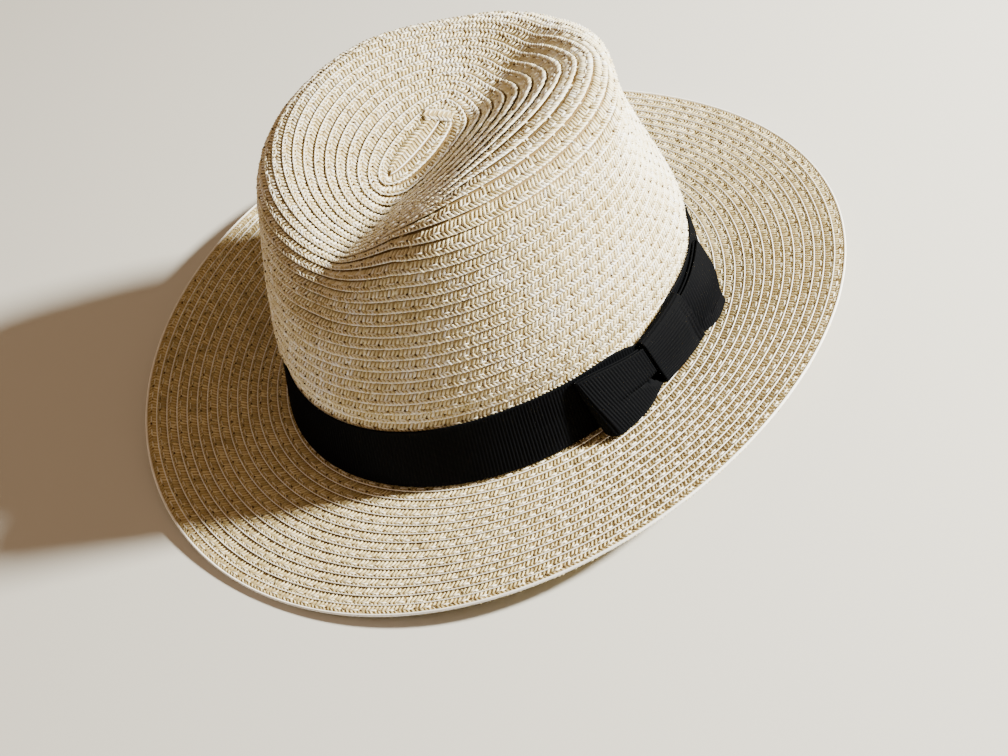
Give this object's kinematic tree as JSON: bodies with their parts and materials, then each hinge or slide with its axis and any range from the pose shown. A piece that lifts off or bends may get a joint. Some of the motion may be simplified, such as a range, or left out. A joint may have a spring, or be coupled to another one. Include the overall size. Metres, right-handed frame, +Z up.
{
  "type": "straw fedora",
  "caption": "Straw fedora of sewn braid with a centre-creased, front-pinched crown, a turned-up brim and a black ribbon band with a flat bow.",
  "frame": {"origin": "middle of the level ring round the head opening, on the surface that the hat rests on", "axes": "+Z up through the crown, -Y towards the hat's front, -X towards the wearer's right, where the bow is"},
  "size_m": [0.2986, 0.336, 0.1203],
  "materials": {
    "straw_braid_crown": "matte sewn straw braid",
    "straw_braid_brim": "matte sewn straw braid",
    "grosgrain_band": "matte ribbed ribbon",
    "grosgrain_bow": "matte ribbed ribbon"
  },
  "bodies": {
    "root": {"crown": "straw_braid_crown", "brim": "straw_braid_brim", "hat_band": "grosgrain_band", "bow_rear_loop": "grosgrain_bow", "bow_front_loop": "grosgrain_bow", "bow_knot": "grosgrain_bow"}
  },
  "joints": []
}
